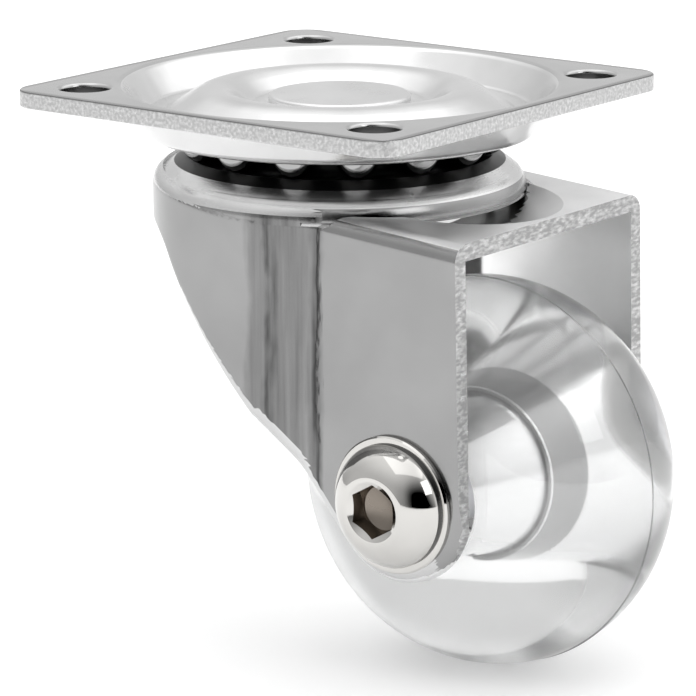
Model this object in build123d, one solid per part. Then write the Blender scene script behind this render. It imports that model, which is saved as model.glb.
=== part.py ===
from build123d import *
import math
import os

# Swivel plate castor in millimetres. Z is the swivel axis and the plate's top face is Z = 0.
# The wheel trails towards +X, its axle lies along Y and the bolt's head is on the -Y side.

# Mounting plate, pressed from sheet
plate_side = 60.0
plate_corner = 4.0
plate_sheet = 2.15
hole_pitch = 46.0
hole_radius = 3.2
hole_lead = 0.5
dish_edge_radius = 27.9
valley_radius = 23.8
valley_half = 1.2
valley_depth = 3.9
hill_inner = 14.4
hill_outer = 17.6
hill_depth = 0.6
pocket_radius = 11.6
pocket_depth = 2.8

# Ball rows
upper_ball_radius = 2.778
upper_ball_ring = 19.0
upper_ball_drop = 6.1
upper_ball_count = 15
upper_ball_phase = 2.0
lower_ball_radius = 1.984
lower_ball_ring = 10.7
lower_ball_count = 16
ball_gap = 0.07

# Kingpin and lower race cup
pin_head_radius = 9.1
pin_head_height = 1.25
pin_radius = 5.0
pin_step = 0.9
pin_tail_radius = 7.2
pin_tail_height = 1.3
pin_fit = 0.05
lower_cup_radius = 13.2
lower_cup_sheet = 1.8

# Fork, pressed from one sheet
fork_sheet = 2.15
fork_width = 40.2
fork_front = 32.8
fork_slant = 1.5
rim_land = 2.222
shoulder_end = 5.0
panel_start = 10.4
shoulder_blend = 2.6
fork_top_drop = 11.6
fork_top_fall = 4.0
fork_top_bend = 2.3
fork_edge_roll = 1.9
skirt_drop = 18.6
crown_drop = 7.1
crown_hole = 8.2
crown_slope = 36.0
crown_bend = 0.9
crown_relief = 0.06
bowl_drop = 14.4
bowl_draw = 3.4
bowl_foot_drop = 17.7
sag_depth = 3.4
sag_reach = 13.0
sag_centre = 20.5
flange_width = 4.2
flange_start = -4.0
flange_end = 17.5
crease_drop = 13.7
crease_half = 0.3
crease_depth = 0.3

# Axle, wheel and bolt
axle_x = 23.56
axle_drop = 47.5
leg_end_radius = 10.3
leg_slope = 50.5
knee_radius = 6.0
toe_flat = 0.35
wheel_radius = 25.0
crown_radius = 16.0
rib_height = 0.12
rib_width = 0.5
hub_radius = 10.4
hub_bore = 9.0
hub_bevel = 0.4
side_play = 0.85
bearing_radius = 9.5
bearing_width = 5.0
bearing_offset = 2.4
bearing_corner = 0.3
bearing_ball_radius = 1.19
bearing_ball_count = 10
bearing_lip = 1.1
shield_thick = 0.25
shield_sink = 0.15
sleeve_radius = 5.0
axle_radius = 4.0
axle_fit = 0.1
sleeve_fit = 0.02
running_fit = 0.06
thrust_radius = 7.6
thrust_thick = 1.2
bolt_head_radius = 7.8
bolt_head_height = 3.8
bolt_rim_height = 0.5
bolt_face_radius = 4.4
socket_lead_radius = 3.8
socket_across = 6.0
socket_depth = 2.6
near_washer_radius = 8.7
near_washer_thick = 0.8
far_washer_radius = 8.0
far_washer_thick = 1.6
nut_across = 13.0
nut_height = 6.0
nut_collar_height = 2.2
thread_end = 1.2

# Sizes that follow from the ones above
axle_z = -axle_drop
half_width = fork_width / 2
leg_inner = half_width - fork_sheet
upper_ball_z = -upper_ball_drop
shoulder_radius = upper_ball_ring + upper_ball_radius + rim_land
crown_under = -crown_drop - fork_sheet
lower_ball_sink = 0.5
lower_ball_z = crown_under - lower_ball_radius + lower_ball_sink
lower_cup_floor = lower_ball_z - lower_ball_radius - ball_gap + 0.35
top_slope = math.radians(fork_top_fall)
hub_half = leg_inner - thrust_thick - side_play
block_depth = 2 * axle_drop
block_width = 4 * fork_width
bearing_low = bearing_offset - bearing_width / 2
bearing_high = bearing_offset + bearing_width / 2
bearing_bore = sleeve_radius + sleeve_fit
bearing_ring = (bearing_radius + bearing_bore) / 2


def rounded(points):
    """Closed face in XY from corners (a, b, bend radius)."""
    starts = []
    ends = []
    middles = []
    count = len(points)
    for i in range(count):
        a, b, radius = points[i]
        back = Vector(points[i - 1][0] - a, points[i - 1][1] - b).normalized()
        ahead = Vector(points[(i + 1) % count][0] - a, points[(i + 1) % count][1] - b).normalized()
        corner = Vector(a, b)
        half = math.acos(max(-1.0, min(1.0, back.dot(ahead)))) / 2
        if radius <= 0 or half > math.pi / 2 - 1e-4:
            starts.append(corner)
            ends.append(corner)
            middles.append(None)
            continue
        run = radius / math.tan(half)
        centre = corner + (back + ahead).normalized() * (radius / math.sin(half))
        starts.append(corner + back * run)
        ends.append(corner + ahead * run)
        middles.append(centre + (corner - centre).normalized() * radius)
    edges = []
    for i in range(count):
        if middles[i] is not None:
            edges.append(ThreePointArc(starts[i], middles[i], ends[i]))
        following = starts[(i + 1) % count]
        if (following - ends[i]).length > 1e-6:
            edges.append(Line(ends[i], following))
    return Face(Wire(edges))


def below(points, thick):
    """The line a sheet's thickness to the right of the corners (a, b, inside bend radius)."""
    result = []
    last = len(points) - 1
    for i in range(last + 1):
        a, b, radius = points[i]
        first = points[i - 1] if i > 0 else points[i]
        third = points[i + 1] if i < last else points[i]
        before = Vector(a - first[0], b - first[1]) if i > 0 else Vector(third[0] - a, third[1] - b)
        after = Vector(third[0] - a, third[1] - b) if i < last else before
        before = before.normalized()
        after = after.normalized()
        mean = (Vector(before.Y, -before.X) + Vector(after.Y, -after.X)).normalized()
        reach = thick / mean.dot(Vector(before.Y, -before.X))
        turn = before.X * after.Y - before.Y * after.X
        bend = 0 if radius == 0 else (radius + thick if turn > 0 else radius)
        result.append((a + mean.X * reach, b + mean.Y * reach, bend))
    return result


def above(points, thick):
    """The upper line itself, with the bend radii that keep each bend concentric."""
    result = []
    last = len(points) - 1
    for i in range(last + 1):
        a, b, radius = points[i]
        if 0 < i < last and radius > 0:
            before = Vector(a - points[i - 1][0], b - points[i - 1][1])
            after = Vector(points[i + 1][0] - a, points[i + 1][1] - b)
            turn = before.X * after.Y - before.Y * after.X
            radius = radius if turn > 0 else radius + thick
        result.append((a, b, radius))
    return result


def sheet_ring(points, thick):
    """Bent sheet turned about Z: the corners are its upper line, the thickness lies below."""
    section = above(points, thick) + list(reversed(below(points, thick)))
    return revolve(Plane.XZ * rounded(section), Axis.Z, 360)


def turned(points):
    """Closed section of (radius, height, bend radius) turned about Z."""
    return revolve(Plane.XZ * rounded(points), Axis.Z, 360)


def on_axle(shape):
    """Lays a shape built about Z along the axle, its top towards +Y."""
    return Pos(axle_x, 0, axle_z) * Rot(X=-90) * shape


def mounting_plate():
    dish = [
        (pin_radius + pin_fit, -pocket_depth, 0),
        (pocket_radius, -pocket_depth, 1.5),
        (hill_inner, -hill_depth, 1.6),
        (hill_outer, -hill_depth, 2.2),
        (valley_radius - valley_half, -valley_depth, 0.8),
        (valley_radius + valley_half, -valley_depth, 0.8),
        (dish_edge_radius, 0, 1.0),
        (plate_side / 2 - 0.6, 0, 0),
    ]
    flat = extrude(RectangleRounded(plate_side, plate_side, plate_corner), -plate_sheet)
    flat -= Cylinder(plate_side / 2 - 0.6, 4 * plate_sheet)
    plate = flat + sheet_ring(dish, plate_sheet)
    plate -= Pos(0, 0, upper_ball_z) * Torus(upper_ball_ring, upper_ball_radius + ball_gap)
    for spot in GridLocations(hole_pitch, hole_pitch, 2, 2):
        plate -= spot * Cylinder(hole_radius, 6 * plate_sheet)
    rims = plate.edges().filter_by(GeomType.CIRCLE).filter_by_position(Axis.Z, -0.01, 0.01)
    rims = rims.filter_by(lambda edge: abs(edge.radius - hole_radius) < 0.01)
    return fillet(rims, hole_lead)


def kingpin():
    head_base = -pocket_depth
    shoulder = lower_cup_floor
    tail = lower_cup_floor - lower_cup_sheet
    return turned([
        (0, head_base + pin_head_height, 0),
        (pin_head_radius, head_base + pin_head_height, 0.5),
        (pin_head_radius, head_base, 0),
        (pin_radius, head_base, 0),
        (pin_radius, shoulder, 0),
        (pin_radius - pin_step, shoulder, 0),
        (pin_radius - pin_step, tail, 0),
        (pin_tail_radius, tail, 0.3),
        (pin_tail_radius - 1.2, tail - pin_tail_height, 0.5),
        (0, tail - pin_tail_height, 0),
    ])


def lower_race_cup():
    rim_z = lower_cup_floor + 1.9
    cup = sheet_ring([
        (pin_radius - pin_step + pin_fit, lower_cup_floor, 0),
        (lower_cup_radius - lower_cup_sheet * 1.3, lower_cup_floor, 0.5),
        (lower_cup_radius, rim_z, 0),
    ], lower_cup_sheet)
    return cup - Pos(0, 0, lower_ball_z) * Torus(lower_ball_ring, lower_ball_radius + ball_gap)


def ball(radius, ring, z, angle):
    place = Vector(ring * math.cos(angle), ring * math.sin(angle), z)
    return Pos(place.X, place.Y, place.Z) * Rot(Z=math.degrees(angle)) * Sphere(radius)


def crown_line():
    """Upper line of the fork's crown from its hole over the race and round the rim."""
    race_foot = upper_ball_z - upper_ball_radius - ball_gap
    fall = math.tan(math.radians(crown_slope))
    flat_end = upper_ball_ring + upper_ball_radius * 0.3
    rim_radius = shoulder_radius - crown_relief
    rim_z = race_foot - (rim_radius - flat_end) * fall
    return [
        (crown_hole, -crown_drop, 0),
        (upper_ball_ring - upper_ball_radius, -crown_drop, 0),
        (upper_ball_ring - 0.1, race_foot, 0),
        (flat_end, race_foot, 0),
        (rim_radius, rim_z, crown_bend),
    ]


def fork_plan(inset):
    """Plan of the fork: round shoulder behind, flat cheeks in front, joined by an S bend."""
    reach = math.sqrt(shoulder_radius ** 2 - shoulder_end ** 2)
    far = fork_front + leg_end_radius
    arc = ThreePointArc((shoulder_end, reach), (-shoulder_radius, 0), (shoulder_end, -reach))
    lines = [
        arc,
        Line((shoulder_end, -reach), (panel_start, -half_width)),
        Line((panel_start, -half_width), (far, -half_width)),
        Line((far, -half_width), (far, half_width)),
        Line((far, half_width), (panel_start, half_width)),
        Line((panel_start, half_width), (shoulder_end, reach)),
    ]
    plan = Face(Wire(lines))
    bends = plan.vertices().filter_by(lambda v: v.X < panel_start + 1)
    plan = fillet(bends, shoulder_blend)
    if inset > 0:
        plan = offset(plan, -inset, kind=Kind.INTERSECTION)
    return plan


def side_line(inset):
    """Side outline of the fork, drawn in from the rolled lower edge by the inset."""
    slope = math.radians(leg_slope)
    reach = leg_end_radius - inset
    foot_x = axle_x - reach * math.sin(slope)
    foot_z = axle_z - reach * math.cos(slope)
    skirt_z = -skirt_drop + inset
    knee_x = foot_x - (skirt_z - foot_z) / math.tan(slope)
    front = math.tan(math.radians(fork_slant))
    return foot_x, foot_z, skirt_z, knee_x, front


def fork_side(inset, front_extra, roof):
    """Side block of the fork with the leg ends round the axle."""
    foot_x, foot_z, skirt_z, knee_x, front = side_line(inset)
    reach = leg_end_radius - inset
    high = roof

    def front_at(z):
        return fork_front + front_extra + front * (-fork_top_drop - z)

    end_angle = math.acos(min(0.999, (leg_end_radius - toe_flat) / leg_end_radius))
    join_x = axle_x + reach * math.cos(end_angle)
    join_z = axle_z - reach * math.sin(end_angle)
    if front_extra > 0:
        join_x = front_at(axle_z)
        join_z = axle_z - reach
    wire = [
        Line((-2 * shoulder_radius, high), (-2 * shoulder_radius, skirt_z)),
        Line((-2 * shoulder_radius, skirt_z), (knee_x, skirt_z)),
        Line((knee_x, skirt_z), (foot_x, foot_z)),
    ]
    if front_extra > 0:
        wire += [
            ThreePointArc(
                (foot_x, foot_z),
                (axle_x - reach * math.sin(math.radians(leg_slope / 2)),
                 axle_z - reach * math.cos(math.radians(leg_slope / 2))),
                (axle_x, axle_z - reach)),
            Line((axle_x, axle_z - reach), (join_x, join_z)),
        ]
    else:
        wire += [
            ThreePointArc((foot_x, foot_z), (axle_x, axle_z - reach), (join_x, join_z)),
        ]
    wire += [
        Line((join_x, join_z), (front_at(high), high)),
        Line((front_at(high), high), (-2 * shoulder_radius, high)),
    ]
    face = Face(Wire(wire))
    knee = face.vertices().filter_by(lambda v: abs(v.X - knee_x) < 0.01 and abs(v.Y - skirt_z) < 0.01)
    face = fillet(knee, knee_radius)
    return extrude(Plane.XZ * face, block_width / 2, both=True)


def fork_body(inset, front_extra):
    """Outer block of the fork, or the block inside its sheet when inset."""
    plan = Pos(0, 0, -block_depth) * extrude(fork_plan(inset), block_depth)
    body = plan & fork_side(inset, front_extra, 0)
    roof = Plane(origin=(0, 0, -fork_top_drop - inset / math.cos(top_slope)),
                 z_dir=(math.sin(top_slope), 0, math.cos(top_slope)))
    return split(body, roof, keep=Keep.BOTTOM)


def fork_inside():
    """Everything taken out from inside the fork's sheet, leaving the turned-in rear flanges."""
    well = Pos(0, 0, -block_depth) * extrude(fork_plan(fork_sheet), block_depth)
    roof = Plane(origin=(0, 0, -fork_top_drop - fork_sheet / math.cos(top_slope)),
                 z_dir=(math.sin(top_slope), 0, math.cos(top_slope)))
    core = split(well, roof, keep=Keep.BOTTOM)
    throat = half_width - flange_width
    rear = -2 * shoulder_radius
    front = fork_front + 2 * fork_sheet
    corners = [(rear, throat), (flange_start, throat), (flange_end, leg_inner + 0.1), (front, leg_inner + 0.1)]
    corners += [(a, -b) for a, b in reversed(corners)]
    passage = Pos(0, 0, -block_depth) * extrude(make_face(Polyline(corners, close=True)), block_depth)
    return [core & fork_side(fork_sheet, fork_width, 0), core & passage], well


def rim_rounded(body):
    """Bends the fork's top edges and rolls its lower edge."""
    top = body.edges().filter_by(lambda e: e.bounding_box().min.Z > (-fork_top_drop - skirt_drop) / 2)
    top = top.filter_by(lambda e: e.center().X < fork_front - 1)
    body = fillet(top, fork_top_bend)
    slope = math.radians(leg_slope)
    foot_x, foot_z, skirt_z, knee_x, front = side_line(0)

    def on_lower_edge(edge):
        for at in (0.15, 0.5, 0.85):
            p = edge.position_at(at)
            drop = (p.X - foot_x) * math.sin(slope) + (p.Z - foot_z) * math.cos(slope)
            round_end = abs(math.hypot(p.X - axle_x, p.Z - axle_z) - leg_end_radius) < 0.05
            near_knee = math.hypot(p.X - knee_x, p.Z - skirt_z) < knee_radius
            if not (abs(drop) < 0.05 or round_end or abs(p.Z - skirt_z) < 0.05 or near_knee):
                return False
        return abs(edge.tangent_at(0.5).Y) < 0.999
    lower = body.edges().filter_by(on_lower_edge)
    return fillet(lower, fork_edge_roll)


def fork():
    body = rim_rounded(fork_body(0, 0))
    sag_radius = (sag_reach ** 2 + sag_depth ** 2) / (2 * sag_depth)
    sag_top = -fork_top_drop - sag_centre * math.tan(top_slope)
    sag = Pos(sag_centre, 0, sag_top - sag_depth + sag_radius)
    inside, well = fork_inside()
    body -= sag * Sphere(sag_radius)
    for void in inside:
        body -= void - sag * Sphere(sag_radius + fork_sheet)
    upper = above(crown_line(), fork_sheet)
    rim_z = upper[-1][1]
    rim_radius = shoulder_radius - crown_relief
    wall = [(rim_radius, -bowl_drop + 0.4, 0)]
    line = crown_line()
    crown = sheet_ring(line + wall, fork_sheet)
    bowl_line = line + [(rim_radius, -bowl_drop, 0.4), (rim_radius - bowl_draw, -bowl_foot_drop, 0)]
    front = Pos(panel_start + block_width / 2, 0, 0) * Box(block_width, block_width, block_depth)
    bowl = sheet_ring(bowl_line, fork_sheet) & front
    lip = rim_radius - 1.25
    lip_z = rim_z + (rim_radius - lip) * math.tan(math.radians(crown_slope))
    body -= turned([(0, 0, 0), (0, -crown_drop, 0)] + upper[:-1] + [(lip, lip_z, 0), (lip, 0, 0)])
    body += crown
    body += bowl
    crease = turned([
        (rim_radius - crease_depth, -crease_drop, 0),
        (rim_radius + 0.1, -crease_drop - crease_half, 0),
        (rim_radius + 0.1, -crease_drop + crease_half, 0),
    ])
    body -= crease & front
    under = below(line + wall, fork_sheet)
    hollow = [(0, -crown_drop - fork_sheet, 0)] + under
    foot = -fork_top_drop - 2 * fork_sheet
    behind = turned(hollow + [(under[-1][0], foot, 0), (0, foot, 0)]) & well
    body -= behind - front
    under = below(bowl_line, fork_sheet)
    hollow = [(0, -crown_drop - fork_sheet, 0)] + under
    body -= turned(hollow + [(under[-1][0], -axle_drop, 0), (0, -axle_drop, 0)]) & front
    clear = Cylinder(under[-1][0] - 1.5, fork_top_drop, align=(Align.CENTER, Align.CENTER, Align.MAX))
    body -= Pos(0, 0, -crown_drop - 2.5 * fork_sheet) * clear
    body -= Cylinder(crown_hole, block_depth)
    body -= Pos(0, 0, upper_ball_z) * Torus(upper_ball_ring, upper_ball_radius + ball_gap)
    body -= Pos(0, 0, lower_ball_z) * Torus(lower_ball_ring, lower_ball_radius + ball_gap)
    body -= on_axle(Cylinder(axle_radius + axle_fit, block_width))
    return body


def wheel():
    """Clear wheel: a round tread that runs on over both sides, bored for the bearing in its middle."""
    solid_start = hub_bore - hub_bevel
    tread = Pos(wheel_radius - crown_radius, 0) * Circle(crown_radius)
    slab = Pos(solid_start + wheel_radius / 2, 0) * Rectangle(wheel_radius, 2 * hub_half)
    boss = Pos((solid_start + hub_radius) / 2, 0) * Rectangle(hub_radius - solid_start, 2 * hub_half)
    body = revolve(Plane.XZ * (tread & slab), Axis.Z, 360) + revolve(Plane.XZ * boss, Axis.Z, 360)
    body += turned([
        (wheel_radius - 1, rib_width / 2 + 0.3, 0),
        (wheel_radius - 1, -rib_width / 2 - 0.3, 0),
        (wheel_radius + rib_height, -rib_width / 4, 0),
        (wheel_radius + rib_height, rib_width / 4, 0),
    ])
    body -= turned([
        (0, -hub_half - 1, 0),
        (hub_bore + hub_bevel + 1, -hub_half - 1, 0),
        (hub_bore, -hub_half + hub_bevel, 0),
        (hub_bore, bearing_low, 0),
        (bearing_radius, bearing_low, 0),
        (bearing_radius, hub_half - hub_bevel, 0),
        (bearing_radius + hub_bevel + 1, hub_half + 1, 0),
        (0, hub_half + 1, 0),
    ])
    return on_axle(body)


def bearing_part(points):
    """Ring of the bearing from its section, with the groove that the balls run in."""
    groove = Pos(0, 0, bearing_offset) * Torus(bearing_ring, bearing_ball_radius + ball_gap)
    return on_axle(turned(points) - groove)


def bearing_outer_ring():
    lip = bearing_radius - bearing_lip
    rebate = lip + 0.4
    sink = shield_sink + shield_thick
    return bearing_part([
        (rebate, bearing_low, 0),
        (bearing_radius - bearing_corner, bearing_low, 0),
        (bearing_radius, bearing_low + bearing_corner, 0),
        (bearing_radius, bearing_high - bearing_corner, 0),
        (bearing_radius - bearing_corner, bearing_high, 0),
        (rebate, bearing_high, 0),
        (rebate, bearing_high - sink, 0),
        (lip, bearing_high - sink, 0),
        (lip, bearing_low + sink, 0),
        (rebate, bearing_low + sink, 0),
    ])


def bearing_inner_ring():
    lip = bearing_bore + bearing_lip
    return bearing_part([
        (bearing_bore, bearing_low + bearing_corner, 0),
        (bearing_bore + bearing_corner, bearing_low, 0),
        (lip, bearing_low, 0),
        (lip, bearing_high, 0),
        (bearing_bore + bearing_corner, bearing_high, 0),
        (bearing_bore, bearing_high - bearing_corner, 0),
    ])


def bearing_shield(low):
    """Thin disc that closes the gap between the bearing's rings."""
    outer = bearing_radius - bearing_lip + 0.38
    inner = bearing_bore + bearing_lip + 0.15
    return tube(outer, inner, low, low + shield_thick, 0.03)


def tube(outer, bore, low, high, bevel):
    """Plain ring along the axle between two heights, its outer corners bevelled."""
    return on_axle(turned([
        (bore, low, 0),
        (outer - bevel, low, 0),
        (outer, low + bevel, 0),
        (outer, high - bevel, 0),
        (outer - bevel, high, 0),
        (bore, high, 0),
    ]))


def axle_bolt():
    seat = -half_width - near_washer_thick
    top = seat - bolt_head_height
    end = half_width + far_washer_thick + nut_height + nut_collar_height + thread_end
    rim = seat - bolt_rim_height
    rise = bolt_head_height - bolt_rim_height
    spread = bolt_head_radius - bolt_face_radius
    middle_r = bolt_face_radius + spread * 0.62
    middle_z = rim - rise * 0.60
    outline = [Line((0, top), (bolt_face_radius, top))]
    outline.append(ThreePointArc((bolt_face_radius, top), (middle_r, middle_z), (bolt_head_radius, rim)))
    corners = [(bolt_head_radius, rim), (bolt_head_radius, seat), (axle_radius, seat)]
    corners += [(axle_radius, end - 0.6), (axle_radius - 0.6, end), (0, end), (0, top)]
    for first, second in zip(corners, corners[1:]):
        outline.append(Line(first, second))
    bolt = revolve(Plane.XZ * Face(Wire(outline)), Axis.Z, 360)
    for turn in range(3):
        z = end - 1.0 - turn * 0.8
        crest = axle_radius + 0.1
        bolt -= turned([(axle_radius - 0.4, z, 0), (crest, z + 0.3, 0), (crest, z - 0.3, 0)])
    hexagon = RegularPolygon(socket_across / 2, 6, major_radius=False)
    bolt -= Pos(0, 0, top) * extrude(hexagon, socket_depth)
    bolt -= turned([
        (0, top - 0.1, 0), (socket_lead_radius, top - 0.1, 0),
        (socket_lead_radius, top, 0), (0, top + 2.2, 0),
    ])
    drill = socket_across / 2 - 0.2
    bolt -= turned([(0, top, 0), (drill, top + socket_depth - 0.1, 0), (0, top + socket_depth + 1.1, 0)])
    return on_axle(bolt)


def lock_nut():
    low = half_width + far_washer_thick
    high = low + nut_height
    corner = nut_across / math.sqrt(3)
    body = Pos(0, 0, low) * extrude(RegularPolygon(nut_across / 2, 6, major_radius=False), nut_height)
    body &= turned([
        (0, low, 0), (corner - 0.7, low, 0), (corner + 0.1, low + 0.5, 0),
        (corner + 0.1, high - 0.6, 0), (corner - 1.2, high, 0), (0, high, 0),
    ])
    collar = nut_across / 2 - 0.5
    body += turned([
        (collar - 1.0, high - 0.5, 0), (collar, high - 0.5, 0), (collar, high + nut_collar_height, 0.8),
        (collar - 1.6, high + nut_collar_height, 0), (collar - 1.6, high + nut_collar_height - 0.4, 0),
        (collar - 1.0, high + nut_collar_height - 0.4, 0),
    ])
    body -= Cylinder(axle_radius + axle_fit / 2, block_width)
    return on_axle(body)


def nut_insert():
    low = half_width + far_washer_thick + nut_height
    collar = nut_across / 2 - 1.5
    return tube(collar, axle_radius + 0.02, low, low + nut_collar_height - 0.4, 0.1)


def save(shape, name):
    solids = shape.solids()
    body = solids[0] if len(solids) == 1 else Compound(children=list(solids))
    export_step(body, os.path.join("parts", name + ".step"))


if __name__ == "__main__":
    os.makedirs("parts", exist_ok=True)
    save(mounting_plate(), "mounting_plate")
    save(kingpin(), "kingpin")
    save(lower_race_cup(), "lower_race_cup")
    for index in range(upper_ball_count):
        angle = math.radians(upper_ball_phase + index * 360 / upper_ball_count)
        save(ball(upper_ball_radius, upper_ball_ring, upper_ball_z, angle), f"upper_ball_{index + 1:02d}")
    for index in range(lower_ball_count):
        angle = math.radians(index * 360 / lower_ball_count)
        save(ball(lower_ball_radius, lower_ball_ring, lower_ball_z, angle), f"lower_ball_{index + 1:02d}")
    save(fork(), "fork")
    save(wheel(), "wheel")
    save(bearing_outer_ring(), "bearing_outer_ring")
    save(bearing_inner_ring(), "bearing_inner_ring")
    save(bearing_shield(bearing_low + shield_sink), "near_bearing_shield")
    save(bearing_shield(bearing_high - shield_sink - shield_thick), "far_bearing_shield")
    for index in range(bearing_ball_count):
        angle = math.radians(index * 360 / bearing_ball_count)
        bead = ball(bearing_ball_radius, bearing_ring, bearing_offset, angle)
        save(on_axle(bead), f"bearing_ball_{index + 1:02d}")
    save(tube(sleeve_radius, axle_radius + axle_fit, -leg_inner, leg_inner, 0.2), "axle_sleeve")
    bore = sleeve_radius + running_fit
    save(tube(thrust_radius, bore, -leg_inner, -leg_inner + thrust_thick, 0.2), "near_thrust_washer")
    save(tube(thrust_radius, bore, leg_inner - thrust_thick, leg_inner, 0.2), "far_thrust_washer")
    bore = axle_radius + axle_fit
    save(tube(near_washer_radius, bore, -half_width - near_washer_thick, -half_width, 0.2), "near_washer")
    save(tube(far_washer_radius, bore, half_width, half_width + far_washer_thick, 0.2), "far_washer")
    save(axle_bolt(), "axle_bolt")
    save(lock_nut(), "lock_nut")
    save(nut_insert(), "nut_insert")
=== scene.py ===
import math

import bmesh
import bpy
from mathutils import Matrix, Vector


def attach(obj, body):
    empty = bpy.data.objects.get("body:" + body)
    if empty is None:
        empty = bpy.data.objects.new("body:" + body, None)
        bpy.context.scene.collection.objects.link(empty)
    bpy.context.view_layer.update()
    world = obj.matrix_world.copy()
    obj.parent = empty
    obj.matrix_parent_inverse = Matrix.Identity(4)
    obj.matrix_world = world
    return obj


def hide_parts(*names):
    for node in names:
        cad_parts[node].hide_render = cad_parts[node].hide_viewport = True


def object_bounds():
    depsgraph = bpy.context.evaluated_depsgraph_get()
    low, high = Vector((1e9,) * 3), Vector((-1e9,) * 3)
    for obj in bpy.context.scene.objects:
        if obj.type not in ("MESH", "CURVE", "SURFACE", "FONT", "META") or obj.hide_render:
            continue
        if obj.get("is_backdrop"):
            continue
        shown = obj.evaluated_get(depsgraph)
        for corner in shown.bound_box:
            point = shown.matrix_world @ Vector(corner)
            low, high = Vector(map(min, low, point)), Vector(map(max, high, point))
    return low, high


bl_info = {
    "name": "Swivel Plate Castor",
    "version": (1, 0, 0),
    "blender": (4, 5, 0),
    "location": "View3D > Sidebar > Castor",
    "description": "Dresses the castor's frame with pressed, turned and clear pieces",
    "category": "Object",
}

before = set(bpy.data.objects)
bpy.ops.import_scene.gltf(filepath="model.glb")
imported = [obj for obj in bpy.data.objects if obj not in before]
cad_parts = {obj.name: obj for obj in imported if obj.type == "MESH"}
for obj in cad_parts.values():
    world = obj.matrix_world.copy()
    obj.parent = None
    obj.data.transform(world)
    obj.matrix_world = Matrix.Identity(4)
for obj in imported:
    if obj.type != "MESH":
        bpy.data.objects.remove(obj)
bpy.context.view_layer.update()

MM = 0.001
TURN = 2 * math.pi
STAIN = 0.08
BALL_GAP = 0.07
EDGE_SLACK = 0.01 * MM
CREASE_SWAY = 0.6 * MM
# Places across the creases from 0 to 1, and how dark the painted shade is at each
CREASE_SHADE_TONES = ((0.05, 0.0), (0.14, 0.35), (0.26, 0.45), (0.32, 0.9), (0.4, 0.5), (0.6, 0.5), (0.69, 0.3),
                (0.77, 0.6), (0.82, 1.0), (0.87, 0.4), (0.92, 0.0))


def length(name, text, value):
    """A length for a property group, given in millimetres and kept in metres."""
    return bpy.props.FloatProperty(name=name, description=text, default=value * MM, unit="LENGTH",
                                   precision=5)


def number(name, text, value):
    """A count for a property group."""
    return bpy.props.IntProperty(name=name, description=text, default=value, min=3)


def colour(name, text, value):
    """A colour for a property group."""
    return bpy.props.FloatVectorProperty(name=name, description=text, default=value, subtype="COLOR",
                                         size=3, min=0, max=1)


class PlateSizes(bpy.types.PropertyGroup):
    """Sizes of the pressed mounting plate"""
    side: length("Side", "Side of the square plate", 60.0)
    corner: length("Corner radius", "Radius of the plate's corners", 4.0)
    sheet: length("Sheet", "Thickness of the plate's sheet", 2.15)
    edge: length("Edge break", "Bevel on the plate's sheared edges", 0.22)
    # Width of the painted shade border, and of the band whose edges are bevelled
    border: length("Border", "Width of the plate's darker border, past its rounded corners", 1.2)
    hole_pitch: length("Hole pitch", "Distance between bolt holes", 46.0)
    hole_radius: length("Hole radius", "Radius of the bolt holes", 3.2)
    hole_lead: length("Hole lead", "Drawn-in rim at the top of each hole", 0.5)
    pin_bore: length("Pin bore", "Radius of the hole for the kingpin", 5.05)
    pocket_radius: length("Pocket radius", "Radius of the floor round the kingpin", 11.6)
    pocket_depth: length("Pocket depth", "Depth of the floor round the kingpin", 2.8)
    hill_inner: length("Hill start", "Inner radius of the raised ring", 14.4)
    hill_outer: length("Hill end", "Outer radius of the raised ring", 17.6)
    hill_depth: length("Hill depth", "Depth of the raised ring's crest", 0.6)
    valley_radius: length("Valley radius", "Radius of the dish's lowest ring", 23.8)
    valley_half: length("Valley half width", "Half the width of the lowest ring", 1.2)
    valley_depth: length("Valley depth", "Depth of the lowest ring", 3.9)
    dish_radius: length("Dish radius", "Radius where the dish leaves the flat", 27.9)
    flat_radius: length("Flat radius", "Radius of the turned part of the plate", 28.75)


class BallSizes(bpy.types.PropertyGroup):
    """Sizes of the two rows of balls that the fork swivels on"""
    upper_radius: length("Upper ball radius", "Radius of a ball in the upper row", 2.778)
    upper_ring: length("Upper ring radius", "Radius of the upper row", 19.0)
    upper_drop: length("Upper drop", "Depth of the upper row's centres", 6.1)
    upper_count: number("Upper balls", "Balls in the upper row", 15)
    upper_phase: bpy.props.FloatProperty(name="Upper phase", description="Angle of the first upper ball",
                                         default=math.radians(2), subtype="ANGLE")
    lower_radius: length("Lower ball radius", "Radius of a ball in the lower row", 1.984)
    lower_ring: length("Lower ring radius", "Radius of the lower row", 10.7)
    lower_drop: length("Lower drop", "Depth of the lower row's centres", 10.734)
    lower_count: number("Lower balls", "Balls in the lower row", 16)


class ForkSizes(bpy.types.PropertyGroup):
    """Sizes that part the finishes, painted light and painted shade of the pressed fork"""
    half_width: length("Half width", "Half the fork's outer width", 20.1)
    front: length("Front edge", "Distance of the fork's front edge from the swivel axis", 32.8)
    rim_radius: length("Rim radius", "Radius that the rim of the crown stays within", 24.3)
    collar_drop: length("Collar drop", "Depth down to which the rim of the crown is turned bright", 11.8)
    cheek_start: length("Cheek start", "Where the top bends of the cheeks leave the rim", 9.5)
    roof_start: length("Roof start", "Where the roof between the cheeks leaves the rim", 12.0)
    leg_top: length("Leg top", "Depth where the rolled rear edges of the legs begin", 24.0)
    leg_reach: length("Leg reach", "Where the rolled rear edges of the legs end at the axle", 30.0)
    roll: length("Edge roll", "How far in the rear edges of the legs are rolled", 1.7)
    # The crown out to this radius gets painted shade
    race_radius: length("Race radius", "Radius out to which the crown is oiled", 21.4)
    race_drop: length("Race drop", "Depth of the crown's race", 9.5)
    crease_start: length("Crease start", "Where the drawn creases beside the shoulder begin", 2.65)
    crease_end: length("Crease end", "Where the drawn creases beside the shoulder end", 13.9)


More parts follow.
